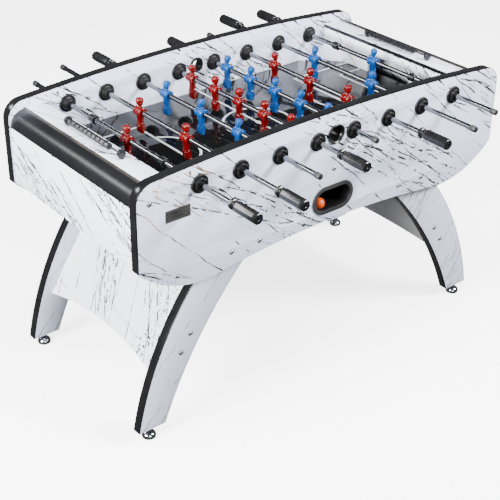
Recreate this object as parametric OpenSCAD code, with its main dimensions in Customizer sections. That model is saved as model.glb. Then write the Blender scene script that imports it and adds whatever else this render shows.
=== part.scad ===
// Foosball table: arched cabinet, four curved legs, eight playing rods with men,
// bead scorers and a gravity ball return. X runs along the table, Y across it,
// Z up; the origin is on the floor under the middle of the table.

/* [Cabinet] */
// Length over the two side panels
table_len = 1421; // [1400:1:1440]
// Width over the outer faces of the side panels
table_w = 722; // [700:1:760]
// Thickness of the side panels, legs and leg panels
board_t = 32; // [28:1:36]
// Height of the middle of the arched top edge
crown_h = 907; // [900:1:920]
// Lowest point of the lobes of the side panels
lobe_h = 513; // [505:1:520]
// Height of the lower edge between the lobes
waist_h = 548; // [540:1:556]
// Distance of the lobes from the middle
lobe_x = 478; // [460:1:490]
// Height of the end panels' lower edge, the cabinet floor and the leg tops
base_h = 612; // [606:1:618]
// Thickness of the black edge bands
band_t = 2; // [1:0.5:3]

/* [Play area] */
// Height of the playing surface
field_h = 742; // [736:1:746]
// Length of the playing surface between the goal walls
field_len = 1148; // [1146:1:1152]
// Top of the end shelves
shelf_h = 850; // [846:1:856]
// Thickness of the end shelves
shelf_t = 12; // [10:1:18]
// Width of the goal openings
goal_w = 196; // [170:1:220]
// Height of the goal openings above the field
goal_h = 66; // [60:1:72]
// Distance of the corner ramps' feet from the end walls
ramp_len = 123; // [100:1:140]
// Distance of the corner ramps' feet from the side walls
ramp_w = 109; // [90:1:120]
// Height of the corner ramps in the corners
ramp_rise = 28; // [20:1:34]

/* [Rods] */
// Distance between neighbouring rods
rod_pitch = 143; // [143:1:144]
// Height of the rod axes
rod_h = 827.5; // [826:0.5:829]
// Outer radius of the rod tubes
rod_r = 7.95; // [7.5:0.05:8.5]
// Radial clearance of the men and grips on the tubes
turn_gap = 0.05; // [0.03:0.01:0.1]
// Radial clearance of the tubes in the bearings
slide_gap = 0.1; // [0.05:0.01:0.1]
// Reach of a man's foot below the rod axis
foot_reach = 70.8; // [68:0.2:71]
// Top of a man's head above the rod axis
head_top = 46; // [44:0.5:48]

/* [Trim and fittings] */
// Radius of the bearing flanges
flange_r = 29; // [26:0.5:31]
// Radius of the serve holes
serve_r = 18.5; // [18.3:0.1:19.5]
// Radius of the ball
ball_r = 17.5; // [16:0.5:18]
// Length of one scoring bead
bead_len = 22; // [20:0.5:22]
// Diameter of the leveller feet
leveler_d = 44; // [38:1:48]

/* [Hidden] */
$fn = 48;
eps = 0.01;
big = 2000;
fit = 0.1;

half_len = table_len / 2;
half_w = table_w / 2;
inner_y = half_w - board_t;
half_field = field_len / 2;

// Arched outline of the side panels
crown_r = 7850;
corner_r = 60;
lobe_r = 325;
waist_r = 3100;
lobe_drop = waist_h - lobe_h;
blend_sum = (lobe_x * lobe_x + lobe_drop * lobe_drop) / (2 * lobe_drop);
blend_r = blend_sum - waist_r;
corner_x = half_len - corner_r;
corner_z = crown_h - crown_r + sqrt((crown_r - corner_r) * (crown_r - corner_r) - corner_x * corner_x);

// End of the cabinet
end_inset = 8;
end_x = half_len - end_inset;
end_t = 18;
cap_r = 50;
cap_flat = 9;
cap_wall = 14;
cap_x = end_x - cap_r;
shelf_out = cap_x - cap_flat;
shelf_in = half_field - 1;
wall_t = 18;
goal_corner_r = 20;
field_t = 12;
groove_d = 6;
floor_t = 9;

// Ball channels and ball return
channel_wall = 3;
channel_w = 50;
chute_high = 712;
chute_low = 684;
chute_far_y = 128;
track_high = 680;
track_low = 648;
track_near_x = 84;
track_side_h = 24;
return_z = 622;
return_w = 165;
return_h = 94;
return_rim = 14;
return_proud = 4;
tray_depth = 72;
tray_half_w = 80;
tray_low = 585;
tray_high = 692;
ball_pos = [-38, -343, return_z - return_h / 2 + return_rim + ball_r + 0.3];

// Legs, as rings between two arcs about distant centres
leg_low = 36;
leg_outer_c = [-340.5, -167.9];
leg_outer_r = 1071.4;
leg_inner_c = [-722.1, -481.1];
leg_inner_r = 1433.9;
leg_y = inner_y - board_t / 2;
panel_tilt = 33;
panel_x = 561;
panel_z = 300;
panel_drop = 130;
panel_arch_r = 1158;
panel_arch_top = -91;
leveler_x = 667;
stem_r = 5;
stem_len = 60;

// Playing rods: the first rod is the left goalkeeper's
rods = [1, 2, 3, 4, 5, 6, 7, 8];
man_count = [1, 2, 3, 5, 5, 3, 2, 1];
man_gap = [0, 242, 184, 124, 124, 178, 276, 0];
// Side where a rod's grip is: -1 front, 1 back. Front grips move the men that face +X
grip_side = [-1, -1, 1, -1, 1, -1, 1, 1];
// Where each rod stands along its travel at rest
rod_rest = [-7, 17, 14, 7, 4, -2, -2, 0];
// Inner end of the grip, and middle of the end cap, from the rod's own middle
grip_start = [496, 540, 494, 465, 465, 494, 540, 496];
cap_mid = [530, 574, 538, 456, 456, 538, 574, 530];
grip_len = 112;
grip_bore = 95;
grip_r = 17.5;
cap_len = 21;
cap_rr = 9.6;
snug = 0.05;
tube_wall = 2;
collar_at = 183;
collar_r = 13;
collar_len = 24;
torso_r = 15;
torso_w = 37;
torso_flange = 6;
torso_waist_r = 12.5;
man_foot_w = 25;
man_leg_w = 18;
man_leg_d = 11;
screw_r = 2.5;

// Fittings
sleeve_r = 15;
bearing_flange_t = 5;
bearing_step_r = 19;
bearing_step_out = 12;
bearing_nose_r = 14.5;
bearing_nose_out = 20;
nut_r = 21;
nut_out = 13;
serve_h = 834;
serve_sleeve_r = 24;
serve_rim_r = 31;
serve_ring_r = 25.5;
scorer_x = (shelf_out + shelf_in) / 2;
scorer_h = shelf_h + 14;
post_y = 142;
post_t = 12;
post_r = 13;
pin_len = 8;
score_rod_r = 3;
bead_r = 10.5;
bead_gap = 0.3;
bead_count = 10;
beads_start = post_y - post_t / 2 - bead_gap;
plate_x = -575;
plate_z = 759.5;
plate_w = 84;
plate_h = 37;
plate_t = 1.5;
bolt_r = 4;
bolt_head_r = 8;
bolt_head_t = 3.5;
leg_bolts = [[285, 572], [388, 570]];
top_bolt = [667, 817];
mid_bolt = [0, 720];
panel_bolts = [[517, 323], [552, 268]];

// Points of an arc about c, from angle a to angle b
function arc(c, r, a, b, n) =
    [for (i = [0:n]) c + r * [cos(a + (b - a) * i / n), sin(a + (b - a) * i / n)]];

// The same points mirrored in X, in reverse order
function mirrored(pts) = [for (i = [len(pts) - 1:-1:0]) [-pts[i][0], pts[i][1]]];

// Right half of the panel's upper edge, from the top of the end to the crown
function upper_half(inset) =
    concat(
        arc([corner_x, corner_z], corner_r - inset, 0, 90 - asin(corner_x / (crown_r - corner_r)), 12),
        [for (i = [1:12]) let (x = corner_x * (1 - i / 12), k = crown_r - inset)
            [x, crown_h - crown_r + sqrt(k * k - x * x)]]);

// Right half of the lower edge, from the middle out to the end
function lower_half() =
    let (blend_c = [lobe_x, lobe_h + blend_r],
         waist_c = [0, waist_h - waist_r],
         turn = atan2(blend_c[1] - waist_c[1], lobe_x),
         reach = asin((half_len - lobe_x) / lobe_r))
    concat(
        arc(waist_c, waist_r, 90, turn, 12),
        arc(blend_c, blend_r, 180 + turn, 270, 4),
        arc([lobe_x, lobe_h + lobe_r], lobe_r, 270, 270 + reach, 12));

function panel_outline(inset) =
    let (low = [for (p = lower_half()) [min(p[0], half_len - inset), p[1]]],
         up = upper_half(inset))
    concat(low, up, mirrored(up), mirrored(low));

// Lays a drawing in X and Z on its back, from y to y + t
module upright(y, t) {
    translate([0, y + t, 0]) rotate([90, 0, 0]) linear_extrude(t) children();
}

// Cylinder along Y through [x, z], from y0 to y1
module y_rod(x, z, r, y0, y1) {
    translate([x, y1, z]) rotate([90, 0, 0]) cylinder(r = r, h = y1 - y0);
}

// Turned shape about Y: points are [radius, y]
module y_turned(x, z, pts) {
    translate([x, 0, z]) rotate([-90, 0, 0]) rotate_extrude() polygon(pts);
}

// Rounded slot outline in X and Z
module stadium(w, h) {
    union() {
        square([w - h, h], center = true);
        for (s = [-1, 1]) translate([s * (w - h) / 2, 0]) circle(d = h);
    }
}

module both_ends() {
    children();
    mirror([1, 0, 0]) children();
}

function rod_x(k) = (k - 4.5) * rod_pitch;

// ---------- cabinet ----------

// Side panel at the front; the back one is its mirror image
module side_panel(front) {
    color("whitesmoke") difference() {
        upright(-half_w, board_t) polygon(panel_outline(band_t));
        for (k = rods) y_rod(rod_x(k), rod_h, sleeve_r + fit, -half_w - 1, -inner_y + 1);
        y_rod(0, serve_h, serve_sleeve_r + fit, -half_w - 1, -inner_y + 1);
        translate([-half_field - wall_t - fit, -inner_y - groove_d - fit, field_h - field_t - fit])
            cube([field_len + 2 * wall_t + 2 * fit, groove_d + 1, field_t + 2 * fit]);
        both_ends() {
            for (b = concat(leg_bolts, [top_bolt])) y_rod(b[0], b[1], bolt_r + fit, -half_w - 1, 0);
        }
        y_rod(mid_bolt[0], mid_bolt[1], bolt_r + fit, -half_w - 1, -half_w + 20 + fit);
        if (front)
            translate([0, 0, return_z]) upright(-half_w - 1, board_t + 2)
                stadium(return_w - 20 + 2 * fit, return_h - 20 + 2 * fit);
    }
}

// Black bands round the top and down the ends of a side panel
module edge_bands() {
    color([0.05, 0.05, 0.05]) for (y = [-half_w, inner_y]) upright(y, board_t) difference() {
        polygon(concat([[half_len, base_h]], upper_half(0), mirrored(upper_half(0)), [[-half_len, base_h]]));
        polygon(concat([[half_len - band_t, base_h - 1]], upper_half(band_t),
            mirrored(upper_half(band_t)), [[band_t - half_len, base_h - 1]]));
    }
}

module end_panel() {
    color("whitesmoke") translate([-end_x, -inner_y, base_h]) cube([end_t, 2 * inner_y, shelf_h - cap_r - base_h]);
}

// Quarter-round cap over the top of an end panel
module corner_cap() {
    top_z = shelf_h - cap_r;
    color([0.05, 0.05, 0.05]) upright(-inner_y, 2 * inner_y) difference() {
        union() {
            intersection() {
                translate([-cap_x, top_z]) circle(r = cap_r, $fn = 96);
                translate([-end_x - 1, top_z]) square([cap_r + 1, cap_r + 1]);
            }
            translate([-cap_x, shelf_h - cap_wall]) square([cap_flat, cap_wall]);
        }
        translate([-cap_x, top_z]) circle(r = cap_r - cap_wall, $fn = 96);
    }
}

module end_shelf() {
    color("whitesmoke") difference() {
        translate([-shelf_out, -inner_y, shelf_h - shelf_t])
            cube([shelf_out - shelf_in - band_t, 2 * inner_y, shelf_t]);
        for (s = [-1, 1]) translate([-scorer_x, s * post_y, shelf_h - pin_len - 0.5]) cylinder(r = 3 + fit, h = pin_len + 1);
    }
}

module shelf_band() {
    color([0.05, 0.05, 0.05]) translate([-shelf_in - band_t, -inner_y, shelf_h - shelf_t])
        cube([band_t, 2 * inner_y, shelf_t]);
}

// White wall behind a goal line, with its opening
module goal_wall() {
    wall_h = shelf_h - shelf_t - field_h;
    color("whitesmoke") difference() {
        translate([-half_field - wall_t, -inner_y, field_h]) cube([wall_t, 2 * inner_y, wall_h]);
        translate([-half_field - wall_t - 1, -goal_w / 2, field_h - 1])
            cube([wall_t + 2, goal_w, goal_h + 1 - goal_corner_r]);
        translate([-half_field - wall_t - 1, goal_corner_r - goal_w / 2, field_h])
            cube([wall_t + 2, goal_w - 2 * goal_corner_r, goal_h]);
        for (s = [-1, 1])
            translate([-half_field - wall_t - 1, s * (goal_w / 2 - goal_corner_r), field_h + goal_h - goal_corner_r])
                rotate([0, 90, 0]) cylinder(r = goal_corner_r, h = wall_t + 2);
    }
}

// Black playing surface, let into grooves in the side panels
module playfield() {
    color([0.08, 0.08, 0.08]) translate([-half_field - wall_t, -inner_y - groove_d, field_h - field_t])
        cube([field_len + 2 * wall_t, 2 * (inner_y + groove_d), field_t]);
}

// Sloping triangle that keeps the ball out of a corner
module corner_ramp() {
    corner = [-half_field, inner_y, field_h];
    color("whitesmoke") translate(corner) polyhedron(
        points = [[0, 0, 0], [ramp_len, 0, 0], [0, -ramp_w, 0], [0, 0, ramp_rise]],
        faces = [[0, 1, 2], [0, 3, 1], [0, 2, 3], [1, 3, 2]]);
}

module cabinet_floor() {
    color("gainsboro") difference() {
        translate([end_t - end_x, -inner_y, base_h]) cube([2 * (end_x - end_t), 2 * inner_y, floor_t]);
        translate([-tray_half_w - 1, -inner_y - 1, base_h - 1]) cube([2 * tray_half_w + 2, tray_depth + 2, floor_t + 2]);
    }
}

// ---------- ball return ----------

// Sloped trough: a bar of height h whose floor falls from z0 to z1 over its length
module sloped_bar(len, w, z0, z1, h) {
    rotate([90, 0, 0]) translate([0, 0, -w]) linear_extrude(w)
        polygon([[0, z0], [len, z1], [len, z1 + h], [0, z0 + h]]);
}

module trough(len, w, z0, z1, side_h) {
    difference() {
        sloped_bar(len, w, z0 - channel_wall, z1 - channel_wall, side_h + channel_wall);
        translate([-1, channel_wall, 0]) sloped_bar(len + 2, w - 2 * channel_wall, z0, z1, side_h + 1);
    }
}

// Chute behind a goal and the track that brings the ball to the front
module ball_channel() {
    chute_x = half_field + wall_t;
    chute_len = chute_far_y + inner_y - 1;
    track_len = chute_x - track_near_x;
    color([0.12, 0.12, 0.12]) {
        difference() {
            translate([-chute_x, chute_far_y, 0]) rotate([0, 0, -90])
                translate([0, -channel_w, 0]) trough(chute_len, channel_w, chute_high, chute_low, 22);
            translate([-chute_x - channel_wall - 1, -inner_y, chute_low]) cube([channel_wall + 2, channel_w, 40]);
        }
        translate([-chute_x + 0.2, -inner_y + 1, 0]) trough(track_len, channel_w, track_high, track_low, track_side_h);
    }
}

module ball_return_tray() {
    opening_low = return_z - return_h / 2 + return_rim;
    color([0.1, 0.1, 0.1]) difference() {
        translate([-tray_half_w, -inner_y, tray_low]) cube([2 * tray_half_w, tray_depth, tray_high - tray_low]);
        translate([channel_wall - tray_half_w, -inner_y - 1, opening_low])
            cube([2 * (tray_half_w - channel_wall), tray_depth - channel_wall + 1, tray_high - channel_wall - opening_low]);
        translate([-tray_half_w - 1, -inner_y + 1 + channel_wall, track_low - channel_wall])
            cube([2 * tray_half_w + 2, channel_w - 2 * channel_wall, 38]);
    }
}

module ball_return_bezel() {
    color([0.05, 0.05, 0.05]) translate([0, 0, return_z]) difference() {
        union() {
            upright(-half_w - return_proud, return_proud) stadium(return_w, return_h);
            upright(-half_w - eps, board_t) stadium(return_w - 20, return_h - 20);
        }
        upright(-half_w - 10, board_t + 20) stadium(return_w - 2 * return_rim, return_h - 2 * return_rim);
    }
}

module ball() {
    color("orangered") translate(ball_pos) sphere(r = ball_r);
}

// ---------- legs ----------

// Ring of metal-free board between the two arcs, shrunk by inset on both edges
module leg_slab(inset, y0, t) {
    difference() {
        intersection() {
            translate([150, y0, leg_low]) cube([600, t, base_h - leg_low]);
            translate([leg_outer_c[0], y0 + t + 1, leg_outer_c[1]]) rotate([90, 0, 0])
                cylinder(r = leg_outer_r - inset, h = t + 2, $fn = 240);
        }
        translate([leg_inner_c[0], y0 + t + 2, leg_inner_c[1]]) rotate([90, 0, 0])
            cylinder(r = leg_inner_r + inset, h = t + 4, $fn = 240);
    }
}

// Places a back right leg's drawing at the corner given by the signs
module at_corner(sx, sy) {
    mirror([sx < 0 ? 1 : 0, 0, 0]) mirror([0, sy < 0 ? 1 : 0, 0]) children();
}

module leg(sx, sy) {
    color("whitesmoke") at_corner(sx, sy) difference() {
        leg_slab(band_t, inner_y - board_t, board_t);
        for (b = concat(leg_bolts, panel_bolts)) y_rod(b[0], b[1], bolt_r + fit, 0, half_w);
        translate([leveler_x, leg_y, leg_low - 1]) cylinder(r = stem_r + fit, h = stem_len + 3);
    }
}

module leg_bands() {
    color([0.05, 0.05, 0.05]) for (sx = [-1, 1], sy = [-1, 1]) at_corner(sx, sy) difference() {
        leg_slab(0, inner_y - board_t, board_t);
        leg_slab(band_t, inner_y - board_t - 3, board_t + 6);
    }
}

// Tilted board between the two legs of an end, with an arched lower edge
module leg_panel() {
    span = 2 * (inner_y - board_t - fit / 2);
    color("whitesmoke") difference() {
        intersection() {
            translate([panel_x, 0, panel_z]) rotate([0, -panel_tilt, 0]) difference() {
                translate([-board_t, -span / 2, -panel_drop]) cube([board_t, span, 600]);
                translate([-board_t - 1, 0, panel_arch_top - panel_arch_r]) rotate([0, 90, 0])
                    cylinder(r = panel_arch_r, h = board_t + 2, $fn = 240);
            }
            translate([0, -span, 0]) cube([big, 2 * span, base_h]);
        }
        for (b = panel_bolts, s = [-1, 1])
            y_rod(b[0], b[1], bolt_r + fit, s * span / 2 - 25 - fit, s * span / 2 + 25 + fit);
    }
}

// Chrome foot with a threaded stem
module leveler(sx, sy) {
    color("silver") at_corner(sx, sy) translate([leveler_x, leg_y, 0]) rotate_extrude() polygon(concat(
        [[0, 0], [leveler_d / 2 - 2, 0], [leveler_d / 2, 2], [leveler_d / 2, 6]],
        [for (a = [15:15:75]) [leveler_d / 2 * cos(a), 6 + 18 * sin(a)]],
        [[stem_r, 24], [stem_r, leg_low + stem_len], [0, leg_low + stem_len]]));
}

// ---------- rods, men and grips ----------

// Man's barrel body and feet, about the rod's own axis, facing +X
module man() {
    y1 = torso_w / 2;
    y0 = y1 - torso_flange;
    difference() {
        union() {
            y_turned(0, 0, concat([[0, -y1], [torso_r, -y1], [torso_r, -y0], [torso_waist_r, 1 - y0]],
                [for (i = [-4:4]) [sqrt(torso_r * torso_r - i * i), i * 2]],
                [[torso_waist_r, y0 - 1], [torso_r, y0], [torso_r, y1], [0, y1]]));
            cylinder(r = 7, h = 22);
            translate([0, 0, head_top - 11]) sphere(r = 11);
            translate([0.8, 0, head_top - 17]) sphere(r = 9.5);
            translate([-man_leg_d / 2, -man_leg_w / 2, -45]) cube([man_leg_d, man_leg_w, 40]);
            upright(-man_foot_w / 2, man_foot_w) polygon([[-6, 7 - foot_reach], [-3, -foot_reach], [5, -foot_reach],
                [9, 6 - foot_reach], [10.5, 14 - foot_reach], [8, 28 - foot_reach], [-6, 28 - foot_reach],
                [-8, 20 - foot_reach]]);
        }
        y_rod(0, 0, rod_r + turn_gap, -torso_w, torso_w);
        rotate([0, 90, 0]) cylinder(r = screw_r + fit, h = torso_r + 5);
    }
    rotate([0, 90, 0]) translate([0, 0, rod_r + 0.5]) cylinder(r = screw_r, h = 5);
}

module men(k) {
    count = man_count[k - 1];
    front = grip_side[k - 1] < 0;
    color(front ? "red" : "dodgerblue") for (i = [0:count - 1])
        translate([rod_x(k), rod_rest[k - 1] + (i - (count - 1) / 2) * man_gap[k - 1], rod_h])
            mirror([front ? 0 : 1, 0, 0]) man();
}

// Chrome tube with its rubber end cap and, on the goalkeepers' rods, two stop collars
module rod(k) {
    side = grip_side[k - 1];
    tube_end = grip_start[k - 1] + grip_bore - 0.5;
    cap_end = cap_mid[k - 1] + cap_len / 2;
    x = rod_x(k);
    translate([0, rod_rest[k - 1], 0]) mirror([0, side > 0 ? 1 : 0, 0]) {
        color("silver") difference() {
            y_rod(x, rod_h, rod_r, -tube_end, cap_end - 5);
            y_rod(x, rod_h, rod_r - tube_wall, -tube_end - 1, cap_end);
        }
        color([0.1, 0.1, 0.1]) difference() {
            y_rod(x, rod_h, cap_rr, cap_end - cap_len, cap_end);
            y_rod(x, rod_h, rod_r + snug, cap_end - cap_len - 1, cap_end - 5 + snug);
        }
        if (man_count[k - 1] == 1) color("dimgray") for (s = [-1, 1]) difference() {
            y_rod(x, rod_h, collar_r, s * collar_at - collar_len / 2, s * collar_at + collar_len / 2);
            y_rod(x, rod_h, rod_r + snug, s * collar_at - collar_len, s * collar_at + collar_len);
            translate([x, s * collar_at, rod_h]) cylinder(r = 3, h = collar_r + 1);
        }
    }
}

// Eight-sided handle with a ring at its inner end
module grip(k) {
    side = grip_side[k - 1];
    start = grip_start[k - 1];
    color([0.06, 0.06, 0.06]) translate([rod_x(k), rod_rest[k - 1], rod_h]) mirror([0, side > 0 ? 1 : 0, 0])
        difference() {
            union() {
                translate([0, -start, 0]) rotate([90, 0, 0]) {
                    cylinder(r = grip_r - 0.5, h = 12, $fn = 8);
                    cylinder(r = grip_r - 5, h = 20);
                    translate([0, 0, 18]) cylinder(r1 = grip_r - 4, r2 = grip_r, h = 8, $fn = 8);
                    translate([0, 0, 26]) cylinder(r = grip_r, h = grip_len - 28, $fn = 8);
                    translate([0, 0, grip_len - 2]) cylinder(r1 = grip_r, r2 = grip_r - 2, h = 2, $fn = 8);
                }
            }
            y_rod(0, 0, rod_r + turn_gap, -start - grip_bore, -start + 1);
            y_rod(0, 0, 3, -start - grip_len - 1, -start);
        }
}

// ---------- fittings ----------

// Flanged bush through the front panel, and its outer nut
module bearing(k) {
    x = rod_x(k);
    r = rod_r + slide_gap;
    color([0.08, 0.08, 0.08]) {
        y_turned(x, rod_h, [[r, -half_w - nut_out + 4], [sleeve_r - 2, -half_w - nut_out + 4], [sleeve_r, -half_w],
            [sleeve_r, -inner_y], [flange_r, -inner_y], [flange_r, -inner_y + 3],
            [flange_r - 2, -inner_y + bearing_flange_t], [bearing_step_r, -inner_y + bearing_flange_t + 1],
            [bearing_step_r, -inner_y + bearing_step_out], [bearing_nose_r, -inner_y + bearing_step_out + 1],
            [bearing_nose_r, -inner_y + bearing_nose_out], [r, -inner_y + bearing_nose_out]]);
        difference() {
            union() {
                y_turned(x, rod_h, [[0, -half_w], [flange_r, -half_w], [flange_r, -half_w - 2],
                    [flange_r - 3, -half_w - 5], [0, -half_w - 5]]);
                y_rod(x, rod_h, nut_r, -half_w - nut_out, -half_w);
            }
            y_rod(x, rod_h, sleeve_r + fit, -half_w - nut_out + 4 - fit, -half_w + 1);
            y_rod(x, rod_h, r, -half_w - nut_out - 1, -half_w);
            for (a = [0:60:300]) translate([x, 0, rod_h]) rotate([0, a, 0])
                y_rod(nut_r + 3, 0, 6, -half_w - nut_out - 1, -half_w - 5);
        }
    }
}

module bearings(side) {
    mirror([0, side > 0 ? 1 : 0, 0]) for (k = rods) bearing(k);
}

// Funnel let into each serve hole from outside, and the ring that closes it inside
module serve_cup() {
    color([0.05, 0.05, 0.05]) {
        y_turned(0, serve_h, [[serve_r, -inner_y], [serve_r, -half_w + 16], [serve_r + 4, -half_w],
            [serve_r + 9.5, -half_w - 6], [serve_rim_r, -half_w - 4.5], [serve_rim_r, -half_w],
            [serve_sleeve_r, -half_w], [serve_sleeve_r, -inner_y]]);
        y_turned(0, serve_h, [[serve_r, -inner_y + snug], [serve_ring_r, -inner_y + snug],
            [serve_ring_r, -inner_y + 5], [serve_ring_r - 1, -inner_y + 6], [serve_r, -inner_y + 6]]);
    }
}

// Rod and two round posts that carry the scoring beads
module scorer_rail() {
    color([0.12, 0.12, 0.12]) union() {
        y_rod(-scorer_x, scorer_h, score_rod_r, -post_y, post_y);
        for (s = [-1, 1]) {
            y_rod(-scorer_x, scorer_h, post_r, s * post_y - post_t / 2, s * post_y + post_t / 2);
            translate([-scorer_x, s * post_y, shelf_h - pin_len]) cylinder(r = 3, h = pin_len + 5);
        }
    }
}

module bead(y) {
    difference() {
        y_turned(-scorer_x, scorer_h, [[0, y], [bead_r - 2.5, y], [bead_r, y + 4], [bead_r, y + bead_len - 4 - bead_gap],
            [bead_r - 2.5, y + bead_len - bead_gap], [0, y + bead_len - bead_gap]]);
        y_rod(-scorer_x, scorer_h, score_rod_r + 0.3, y - 1, y + bead_len + 1);
    }
}

// The nine beads that stay together, and the one that is scored first
module score_beads(sx) {
    color([0.15, 0.15, 0.15]) mirror([sx > 0 ? 1 : 0, 0, 0])
        for (i = [1:bead_count - 1]) bead(beads_start - i * bead_len);
}

module lead_bead(sx) {
    color([0.15, 0.15, 0.15]) mirror([sx > 0 ? 1 : 0, 0, 0]) bead(beads_start - bead_count * bead_len);
}

module name_plate() {
    color("dimgray") translate([plate_x - plate_w / 2, -half_w - plate_t, plate_z - plate_h / 2])
        cube([plate_w, plate_t, plate_h]);
}

// Domed bolt, head at y, shank running towards +Y
module bolt(x, z, y, len) {
    translate([x, 0, z]) rotate([-90, 0, 0]) rotate_extrude() polygon([[0, y - bolt_head_t],
        [bolt_head_r - 2, y - bolt_head_t], [bolt_head_r, y - 1], [bolt_head_r, y], [bolt_r, y], [bolt_r, y + len], [0, y + len]]);
}

module bolts() {
    color("silver") for (m = [0, 1]) mirror([0, m, 0]) {
        both_ends() {
            for (b = leg_bolts) bolt(b[0], b[1], -half_w, board_t + 20);
            bolt(top_bolt[0], top_bolt[1], -half_w, board_t - 1);
            for (b = panel_bolts) bolt(b[0], b[1], -inner_y, board_t + 20);
        }
        bolt(mid_bolt[0], mid_bolt[1], -half_w, 20);
    }
}

side_panel(true);  // side_panel_front
mirror([0, 1, 0]) side_panel(false);  // side_panel_back
edge_bands();
end_panel();  // end_panel_left
mirror([1, 0, 0]) end_panel();  // end_panel_right
both_ends() corner_cap();  // corner_caps
both_ends() end_shelf();  // end_shelves
both_ends() shelf_band();  // shelf_bands
both_ends() goal_wall();  // goal_walls
playfield();
both_ends() for (m = [0, 1]) mirror([0, m, 0]) corner_ramp();  // corner_ramps
cabinet_floor();
both_ends() ball_channel();  // ball_channels
ball_return_tray();
ball_return_bezel();
ball();
leg(-1, -1);  // leg_front_left
leg(1, -1);  // leg_front_right
leg(-1, 1);  // leg_back_left
leg(1, 1);  // leg_back_right
leg_bands();
both_ends() leg_panel();  // leg_panels
leveler(-1, -1);  // leveler_front_left
leveler(1, -1);  // leveler_front_right
leveler(-1, 1);  // leveler_back_left
leveler(1, 1);  // leveler_back_right
bearings(-1);  // bearings_front
bearings(1);  // bearings_back
for (m = [0, 1]) mirror([0, m, 0]) serve_cup();  // serve_cups
both_ends() scorer_rail();  // scorer_rails
score_beads(-1);  // score_beads_left
lead_bead(-1);  // lead_bead_left
score_beads(1);  // score_beads_right
lead_bead(1);  // lead_bead_right
name_plate();
bolts();
for (k = rods) rod(k);
for (k = rods) men(k);
for (k = rods) grip(k);
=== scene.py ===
"""Looks of the foosball table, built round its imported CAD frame. Lengths in this script are in millimetres."""
import math
import random

import bmesh
import bpy
from mathutils import Matrix, Vector


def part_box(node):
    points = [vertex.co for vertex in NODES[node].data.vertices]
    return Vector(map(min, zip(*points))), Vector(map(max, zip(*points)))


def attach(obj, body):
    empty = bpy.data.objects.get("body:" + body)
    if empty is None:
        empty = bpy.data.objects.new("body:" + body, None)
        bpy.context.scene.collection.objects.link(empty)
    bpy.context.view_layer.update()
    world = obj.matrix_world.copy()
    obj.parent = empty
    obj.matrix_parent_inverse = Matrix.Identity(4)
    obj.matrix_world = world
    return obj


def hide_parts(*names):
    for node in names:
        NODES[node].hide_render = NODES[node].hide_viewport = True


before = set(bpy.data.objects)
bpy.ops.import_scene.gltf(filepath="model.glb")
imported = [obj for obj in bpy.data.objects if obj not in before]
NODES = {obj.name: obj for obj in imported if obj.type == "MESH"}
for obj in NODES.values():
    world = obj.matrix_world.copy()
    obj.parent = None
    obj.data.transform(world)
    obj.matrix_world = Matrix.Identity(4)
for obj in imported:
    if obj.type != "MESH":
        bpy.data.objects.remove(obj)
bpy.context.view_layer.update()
MM = 0.001


# ---------------------------------------------------------------- materials

def tree(name):
    """A new node material: its links, a maker of nodes, and its shader."""
    m = bpy.data.materials.new(name)
    m.use_nodes = True
    nt = m.node_tree
    bsdf = nt.nodes["Principled BSDF"]

    def make(kind, inputs=(), **settings):
        n = nt.nodes.new("ShaderNode" + kind)
        for key, value in settings.items():
            setattr(n, key, value)
        for key, value in dict(inputs).items():
            if isinstance(value, bpy.types.NodeSocket):
                nt.links.new(value, n.inputs[key])
            else:
                n.inputs[key].default_value = value
        return n

    return m, nt, make, bsdf


def place(make, scale=(1, 1, 1), turn=(0, 0, 0)):
    """Object coordinates, turned by degrees and then scaled."""
    at = make("TexCoord").outputs["Object"]
    if any(turn):
        at = make("Mapping", {"Vector": at, "Rotation": [math.radians(a) for a in turn]}).outputs[0]
    return make("Mapping", {"Vector": at, "Scale": scale}).outputs[0]


def noise(make, at, scale, detail=2.0, rough=0.5, warp=0.0):
    return make("TexNoise", {"Vector": at, "Scale": scale, "Detail": detail, "Roughness": rough,
                             "Distortion": warp}).outputs["Fac"]


def span(make, value, lo, hi, out_lo=0.0, out_hi=1.0):
    return make("MapRange", {"Value": value, "From Min": lo, "From Max": hi, "To Min": out_lo,
                             "To Max": out_hi}).outputs[0]


def math_of(make, op, a, b=0.0):
    return make("Math", {0: a, 1: b}, operation=op).outputs[0]


def mix(make, fac, a, b, blend="MIX"):
    n = make("Mix", data_type="RGBA", blend_type=blend)
    nt = n.id_data
    for key, value in ((0, fac), (6, a), (7, b)):
        if isinstance(value, bpy.types.NodeSocket):
            nt.links.new(value, n.inputs[key])
        elif key == 0:
            n.inputs[key].default_value = value
        else:
            n.inputs[key].default_value = (*value, 1)
    return n.outputs[2]


def plain(name, color, rough, metal=0.0, coat=0.0, vary=0.12, rough_vary=0.08, grain=60.0, bump=0.1,
          bump_grain=900.0, stretch=(1, 1, 1), specular=0.5, second=None, coat_rough=0.06):
    """A worn-in solid finish: uneven colour and gloss over a fine grain."""
    m, nt, make, bsdf = tree(name)
    at = place(make, stretch)
    dark = [c * (1 - vary) for c in color]
    light = second or [min(1.0, c * (1 + vary)) for c in color]
    cloud = noise(make, at, grain, 4.0, 0.6)
    nt.links.new(mix(make, span(make, cloud, 0.35, 0.65), dark, light), bsdf.inputs["Base Color"])
    gloss = noise(make, at, grain * 2.7, 5.0, 0.65)
    nt.links.new(span(make, gloss, 0.3, 0.7, max(0.01, rough - rough_vary), rough + rough_vary),
                 bsdf.inputs["Roughness"])
    fine = noise(make, at, bump_grain, 3.0, 0.6)
    nt.links.new(make("Bump", {"Strength": bump, "Distance": 0.0004, "Height": fine}).outputs[0],
                 bsdf.inputs["Normal"])
    bsdf.inputs["Metallic"].default_value = metal
    bsdf.inputs["Coat Weight"].default_value = coat
    bsdf.inputs["Coat Roughness"].default_value = coat_rough
    bsdf.inputs["Specular IOR Level"].default_value = specular
    return m


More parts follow.
